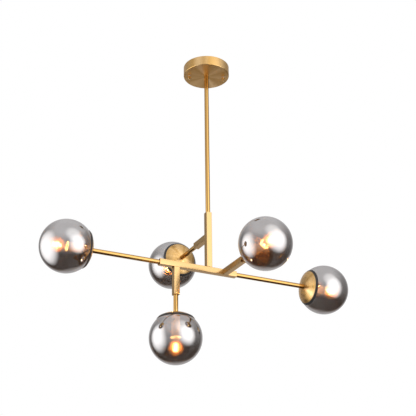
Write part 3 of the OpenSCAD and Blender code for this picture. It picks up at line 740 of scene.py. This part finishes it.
# Rolled thread: radius = crest - depth * (1 - cos(2 pi (height / pitch - angle / full turn))) / 2, fading out at its
# ends.
def threadShell(c):
    start, top = c["threadFrom"], c["baseLength"]
    stop = top - c["threadTo"]
    z = np.linspace(start, stop, 92)
    angle = np.linspace(0, 2 * np.pi, 49)
    wave = 0.5 - 0.5 * np.cos(2 * np.pi * (z[None, :] / c["pitch"] - angle[:, None] / (2 * np.pi)))
    fade = np.clip(np.minimum(z - start, stop - z) / c["threadFade"], 0, 1)
    radius = c["thread"] - c["threadDepth"] * (wave * fade[None, :] + 0.35 * (1 - fade[None, :]))
    x, y = radius * np.cos(angle)[:, None], radius * np.sin(angle)[:, None]
    body = np.stack([x, y, np.broadcast_to(z, radius.shape)], 2)
    end = c["thread"] - c["threadDepth"] * 0.35
    foot = rounded([(0, 0), (c["thread"] - 0.3, 0, 0.2), (end, start)], 3, False)
    shoulder = rounded([(end, stop), (end - 0.4, top - 1.2, 0.6), (4.6, top, 0.4), (3.9, top + 0.2)], 4, False)
    return [turned(foot, 48), body, turned(shoulder, 48)]


def tipShells(c):
    top, end = c["baseLength"], c["baseLength"] + c["tip"]
    insulator = [(3.9, top + 0.2), (3.4, top + 1.2, 0.3), (2.4, top + 2.0, 0.3), (2.1, top + 2.1)]
    contact = [(2.1, top + 2.1), (2.3, top + 2.4, 0.1), (2.2, end - 0.5, 0.4), (1.2, end, 0.4), (0, end)]
    return [turned(rounded(corners, 4, False), 48) for corners in (insulator, contact)]


# Lamp glass: ball, flare and neck in one smooth closed profile; the flare is a cubic curve between their slopes
def lampGlass(c):
    ballAt = -(c["length"] - c["ball"])
    turn = np.linspace(-90, 52, 40) * math.pi / 180
    ball = np.stack([c["ball"] * np.cos(turn), ballAt + c["ball"] * np.sin(turn)], 1)
    end, neck = ball[-1], np.array([c["neck"], -1.2])
    t = np.linspace(0, 1, 9)[1:, None]
    slope = np.array([-math.sin(turn[-1]), math.cos(turn[-1])]) * 9.0
    flare = ((2 * t ** 3 - 3 * t ** 2 + 1) * end + (t ** 3 - 2 * t ** 2 + t) * slope
             + (-2 * t ** 3 + 3 * t ** 2) * neck + (t ** 3 - t ** 2) * np.array([0.0, 6.0]))
    foot = np.array([[c["neck"] - 0.3, -0.15], [c["neck"] - 0.7, -0.05], [0.0, -0.05]])  # a hair off its base
    return turned(np.vstack([ball, flare, foot]), 96)


# Heights run from the lamp's base towards its far end, so they are negative
filamentSize = {
    "rods": 4, "rod": 0.9, "near": 2.6, "nearAt": -17.5, "far": 5.4, "farAt": -40.0, "lean": 0.6,
    "lead": 0.2, "mast": 0.25, "mastEnds": (-13.5, -28.0, -41.0), "loopAt": -40.3,
}


# What glows inside: a glass post, four filament rods on thin wires and a ring that ties them
def lampInside(c):
    post = rounded([(3.2, -0.9, 0.5), (2.6, -4.0, 1.0), (1.5, -6.5, 1.0), (1.3, -13.0, 0.6), (0, -13.8)], 4, False)
    rods, wires = [], []
    for k in range(c["rods"]):
        a = math.radians(45 + 90 * k)
        b = a + c["lean"]
        low = np.array([c["near"] * math.cos(a), c["near"] * math.sin(a), c["nearAt"]])
        high = np.array([c["far"] * math.cos(b), c["far"] * math.sin(b), c["farAt"]])
        rods.append(wire(low + (high - low) * np.linspace(0, 1, 12)[:, None], c["rod"], 12))
        root = [0.7 * math.cos(a), 0.7 * math.sin(a), -5.5]
        wires.append(wire(np.vstack([root, low * [0.6, 0.6, 1] + [0, 0, 1.5], low]), c["lead"], 8))
    wires.append(wire([[0, 0, at] for at in c["mastEnds"]], c["mast"], 8))
    loop = np.linspace(0, 2 * np.pi, 33)
    tie = np.stack([c["far"] * np.cos(loop), c["far"] * np.sin(loop), np.full(33, c["loopAt"])], 1)
    wires.append(wire(tie, c["mast"], 8))
    return turned(post[::-1], 24), rods, wires


# An egg: radius = width * cos(angle), height = middle + tall * sin(angle)
def egg(width, tall, middle):
    turn = np.linspace(-90, 90, 33) * math.pi / 180
    return turned(np.stack([width * np.cos(turn), middle + tall * np.sin(turn)], 1), 48)


filamentGlow = glowing("filamentGlow", (1.0, 0.90, 0.62), (1.0, 0.80, 0.45), 34.0)
lampGlows = [  # soft shells of warm light, from the middle out: width, height, colour, strength, alpha
    (6.0, 9.0, (1.0, 0.84, 0.50), 15.0, 0.5),
    (10.5, 13.5, (1.0, 0.58, 0.24), 8.0, 0.24),
    (16.5, 18.5, (1.0, 0.38, 0.12), 6.0, 0.14),
]
glowMiddle = -28.0
glowFinishes = [glowing("lampGlow_%d" % k, colour, tuple(v * 0.93 for v in colour), strength, 80.0, alpha)
                for k, (_, _, colour, strength, alpha) in enumerate(lampGlows)]
glowEggs = [egg(wide, tall, glowMiddle) for wide, tall, _, _, _ in lampGlows]
amber = clearGlass("amberGlass", (0.80, 0.42, 0.18), 0.10, 0.04, (1.0, 0.34, 0.10), 0.8)
postGlass = clearGlass("postGlass", (0.9, 0.85, 0.78), 0.35)
insulatorGlass = moulded("baseInsulator", (0.02, 0.02, 0.025), 0.2, 0.7, 0.05, 400.0, coat=0.4)
solder = plainMetal("tipSolder", (0.60, 0.60, 0.58), 0.35, 0.7, 200.0)
threadGrids, tipGrids, glassGrid = threadShell(lampSize), tipShells(lampSize), lampGlass(lampSize)
post, filaments, supports = lampInside(filamentSize)
insidePaint = [0] + [1] * len(filaments) + [2] * len(supports) + [3 + k for k in range(len(glowEggs))]
baseFinishes, insideFinishes = [nickel, insulatorGlass, solder], [postGlass, filamentGlow, nickel] + glowFinishes
up = np.array([0, 0, holderMouth])
for arm in arms:
    body, node = "bulb_" + arm, "bulb_base_" + arm
    base = [onHead(p + up, arm) for p in threadGrids + tipGrids]
    piece("lampBase_" + arm, base, node, [node], baseFinishes, 40, [0, 0, 0, 1, 2])
    piece("lampGlass_" + arm, [onHead(glassGrid + up, arm)], body, [body], [amber], 60)
    inside = [onHead(p + up, arm) for p in [post] + filaments + supports + glowEggs]
    glow = piece("lampInside_" + arm, inside, body, [], insideFinishes, 60, insidePaint)
    glow.visible_diffuse = glow.visible_glossy = False  # the lamp's own light object stands in for it
print("lampholders and lamps")

# ---- Globes ----
globeWall = 2.2


# Globe: outer sphere from its pole to the mouth, a fire-rounded lip, then the inner sphere back to its pole
def globeShells(wall):
    outer, inner = globeRadius, globeRadius - wall
    edge = mouthHeight - wall * 0.35
    turn = np.linspace(-math.pi / 2, math.asin(edge / outer), 92)
    back = np.linspace(math.asin(edge / inner), -math.pi / 2, 88)
    outerRows = np.stack([outer * np.cos(turn), outer * np.sin(turn)], 1)
    innerRows = np.stack([inner * np.cos(back), inner * np.sin(back)], 1)
    start, stop = outerRows[-1], innerRows[0]
    lift = np.linspace(0, math.pi, 9)[:, None]
    lip = (start + stop) / 2 + (start - stop) / 2 * np.cos(lift) + np.array([0, mouthHeight - edge]) * np.sin(lift)
    return [turned(outerRows, 144), turned(lip, 144), turned(innerRows, 144)]


innerSkin = clearGlass("innerSkin", (0.06, 0.055, 0.05), glass["innerAlpha"])
cutEdge = clearGlass("cutEdge", (0.22, 0.20, 0.19), 0.75, 0.12)
for arm in arms:
    outerSkin = smokedGlass("smokedGlass_" + arm, arms[arm]["centre"], arms[arm]["matrix"])
    grids = [onHead(g, arm) for g in globeShells(globeWall)]
    piece("globeGlass_" + arm, grids, "globe_" + arm, ["globe_" + arm], [outerSkin, cutEdge, innerSkin],
          60)
print("globes")

# ---- Carried-over nodes ----
# Small and hidden pieces keep their CAD meshes and get a finish here
carried = {
    "ceiling_bracket": steel, "bracket_studs": steel, "stud_locknuts": steel, "earth_screw": screwBrass,
    "stem_nipple": steel, "stem_washer": steel, "stem_locknut": steel, "terminal_bracket": steel,
    "terminal_block": nylon, "terminal_screws": screwBrass, "bar_end_plugs": plugPaintedShade, "bar_root_plugs": plugPaintedShade,
    "bar_nipples": steel, "bar_locknuts": steel, "rod_nipples": steel, "head_locknuts": steel, "leads": sleeve,
}
for node, finish in carried.items():
    made = frame["nodes"][node]
    made.data.materials.clear()
    made.data.materials.append(finish)

# ---- Studio ----
# The room is what metal and glass reflect: grey walls, a light top and a dark brown floor. Directions are azimuth from
# the camera's side, positive to its right, and elevation, both in degrees. Only glossy rays see it.
studio = {
    "radius": 6.0, "middle": (-0.02, 0.0, -0.55),
    "front": (0.48, 0.47, 0.47), "side": (0.30, 0.29, 0.285), "back": (0.62, 0.605, 0.60), "top": (0.94, 0.93, 0.93),
    "floor": (0.055, 0.037, 0.028), "floorBack": (0.33, 0.255, 0.205),
    "sideAt": (60.0, 105.0), "backAt": (125.0, 165.0),  # azimuths where front turns to side, and side to back
    "topAt": (5.0, 60.0), "deepAt": (-80.0, -45.0),  # elevations where the wall turns to top, and the floor gets darker
    "horizon": (-12.0, -46.0), "horizonSoft": (-26.0, 22.0),  # the floor's edge in front, its drop behind, and its blur
    # light above the right soft box: its way right, up and toward the camera, its share, its blur and its colour
    "spill": (0.48, 0.77, 0.42), "spillLight": 0.75, "spillAt": (0.80, 0.99), "spillColour": (1.9, 1.9, 1.88),
}
boxCorner, boxReach, boxFade = 2.4, 1.5, (0.25, 1.45)  # squareness of a soft box, its card's reach, and its blur
softBoxes = {
    "right": {"place": (0.80, -1.82, -0.68), "wide": 1.42, "tall": 1.42, "light": 2.7, "power": 60.0},
    "left": {"place": (-1.38, 0.42, -0.80), "wide": 1.02, "tall": 1.15, "light": 2.5, "power": 30.0},
}


def glossyOnly(made):
    made.visible_camera = made.visible_diffuse = made.visible_transmission = made.visible_shadow = False
    made.visible_volume_scatter = False


def stageMesh(name, grid, finish):
    mesh = bpy.data.meshes.new(name)
    u, v = grid.shape[:2]
    mesh.from_pydata(grid.reshape(-1, 3), [], cells(np.arange(u * v).reshape(u, v)).tolist())
    mesh.materials.append(finish)
    made = bpy.data.objects.new(name, mesh)
    scene.collection.objects.link(made)
    return made


def studioDome(c):
    turn = np.linspace(90, -90, 49) * math.pi / 180
    grid = turned(np.stack([c["radius"] * np.cos(turn), c["radius"] * np.sin(turn)], 1), 96) + np.array(c["middle"])
    g = Graph("studioRoom")
    at = g.vmaths("NORMALIZE", g.vmaths("SUBTRACT", g.place(), tuple(c["middle"])))
    across = g.vmaths("DOT_PRODUCT", at, tuple(viewRight), output=1)
    high = g.vmaths("DOT_PRODUCT", at, tuple(viewUp), output=1)
    toward = g.vmaths("DOT_PRODUCT", at, tuple(viewBack), output=1)
    azimuth = across.maths("ARCTAN2", toward).maths("ABSOLUTE") * (180 / math.pi)
    elevation = high.maths("ARCSINE") * (180 / math.pi)
    side = g.between(azimuth, 0.0, 1.0, *c["sideAt"], "SMOOTHSTEP")
    behind = g.between(azimuth, 0.0, 1.0, *c["backAt"], "SMOOTHSTEP")
    wall = g.mix(behind, g.mix(side, c["front"], c["side"]), c["back"])
    wall = g.mix(g.between(elevation, 0.0, 1.0, *c["topAt"], "SMOOTHSTEP"), wall, c["top"])
    edge = behind * c["horizon"][1] + c["horizon"][0]
    floor = g.mix(behind, c["floor"], c["floorBack"])
    deep = g.mix(g.between(elevation, 1.0, 0.0, *c["deepAt"], "SMOOTHSTEP"), floor, c["floor"])
    spillWay = viewRight * c["spill"][0] + viewUp * c["spill"][1] + viewBack * c["spill"][2]
    spill = g.vmaths("DOT_PRODUCT", at, tuple(spillWay), output=1)
    wall = g.mix(g.between(spill, 0.0, c["spillLight"], *c["spillAt"], "SMOOTHSTEP"), wall, c["spillColour"])
    room = g.mix(g.between(elevation - edge, 0.0, 1.0, *c["horizonSoft"], "SMOOTHSTEP"), deep, wall)
    shine = g.node("ShaderNodeEmission", {}, {"Color": room, "Strength": 1.0})
    g.node("ShaderNodeOutputMaterial", {}, {0: shine})
    g.material.cycles.emission_sampling = "NONE"
    glossyOnly(stageMesh("studioDome", grid, g.material))


# A soft box: a flat card whose light fades out towards its rounded edge, and an area light in the same place. The fade
# runs with (|x / wide| ^ corner + |y / tall| ^ corner) ^ (1 / corner).
def softBox(name, c):
    place = Vector(c["place"])
    z = (Vector(studio["middle"]) - place).normalized()
    x = Vector((0, 0, 1)).cross(z).normalized()
    turn = np.array(Matrix((x, z.cross(x), z)).transposed())
    steps = np.linspace(-1, 1, 9)
    u, v = np.meshgrid(steps * c["wide"] * boxReach, steps * c["tall"] * boxReach, indexing="ij")
    grid = placed(np.stack([u, v, np.zeros_like(u)], 2) / mm, place, turn)
    g = Graph("softBoxLight_" + name)
    atX, atY, _ = g.parts(g.place(place, turn))
    offX, offY = (atX / c["wide"]).maths("ABSOLUTE"), (atY / c["tall"]).maths("ABSOLUTE")
    off = (offX ** boxCorner + offY ** boxCorner) ** (1 / boxCorner)
    mask = g.between(off, 1.0, 0.0, *boxFade, "SMOOTHSTEP")
    shine = g.node("ShaderNodeEmission", {}, {"Color": (1.0, 1.0, 1.0), "Strength": c["light"]})
    clear = g.node("ShaderNodeBsdfTransparent", {}, {})
    g.node("ShaderNodeOutputMaterial", {}, {0: g.node("ShaderNodeMixShader", {}, {0: mask, 1: clear, 2: shine})})
    g.material.cycles.emission_sampling = "NONE"
    glossyOnly(stageMesh("softBoxCard_" + name, grid, g.material))
    data = bpy.data.lights.new("softBox_" + name, "AREA")
    data.shape, data.size, data.size_y, data.energy = "RECTANGLE", 2 * c["wide"], 2 * c["tall"], c["power"]
    lamp = bpy.data.objects.new("softBox_" + name, data)
    scene.collection.objects.link(lamp)
    facing = Matrix((x, z.cross(x), z)).transposed().to_4x4() @ Matrix.Rotation(math.pi, 4, "X")
    lamp.matrix_world = Matrix.Translation(place) @ facing
    lamp.visible_glossy = lamp.visible_camera = False


def studioFloor(height=-2.3, size=14.0):
    x, y = np.meshgrid([-size, 0.0, size], [-size, 0.0, size], indexing="ij")
    g = Graph("paleFloor")
    cloud = g.noise(g.place(), 1.5, 3.0)
    g.surface({"Base Color": g.mix(cloud, (0.80, 0.80, 0.80), (0.76, 0.76, 0.755)), "Roughness": 0.9})
    floor = stageMesh("studioFloor", np.stack([x, y, np.full_like(x, height)], 2), g.material)
    floor.visible_glossy = False  # metal and glass see the dome's own floor


# The world: white to the camera, to mirrors and through glass, a soft grey light on everything else
def world():
    made = bpy.data.worlds.new("studioWorld")
    scene.world = made
    made.use_nodes = True
    nodes, links = made.node_tree.nodes, made.node_tree.links
    nodes.clear()
    path = nodes.new("ShaderNodeLightPath")
    seen = path.outputs["Is Camera Ray"]
    for name in ("Is Glossy Ray", "Is Transmission Ray"):
        more = nodes.new("ShaderNodeMath")
        more.operation = "MAXIMUM"
        links.new(seen, more.inputs[0])
        links.new(path.outputs[name], more.inputs[1])
        seen = more.outputs[0]
    mix = nodes.new("ShaderNodeMix")
    mix.data_type = "RGBA"
    links.new(seen, mix.inputs[0])
    mix.inputs[6].default_value = (0.72, 0.72, 0.73, 1)
    mix.inputs[7].default_value = (1, 1, 1, 1)
    back = nodes.new("ShaderNodeBackground")
    links.new(mix.outputs[2], back.inputs[0])
    out = nodes.new("ShaderNodeOutputWorld")
    links.new(back.outputs[0], out.inputs[0])


lampLights = {"power": 2.2, "colour": (1.0, 0.52, 0.17), "radius": 0.012, "outward": 0.026}


# The light of the lamps themselves
def lampLight(arm, c):
    data = bpy.data.lights.new("lampLight_" + arm, "POINT")
    data.energy, data.color, data.shadow_soft_size = c["power"], c["colour"], c["radius"]
    lamp = bpy.data.objects.new("lampLight_" + arm, data)
    scene.collection.objects.link(lamp)
    lamp.location = arms[arm]["centre"] + arms[arm]["outward"] * c["outward"]
    lamp.parent = bpy.data.objects["lampInside_" + arm]  # so it goes where its lamp goes
    lamp.visible_camera = False


studioDome(studio)
studioFloor()
world()
for name, box in softBoxes.items():
    softBox(name, box)
for arm in arms:
    lampLight(arm, lampLights)
scene.view_settings.view_transform = "Standard"
print("studio ready")
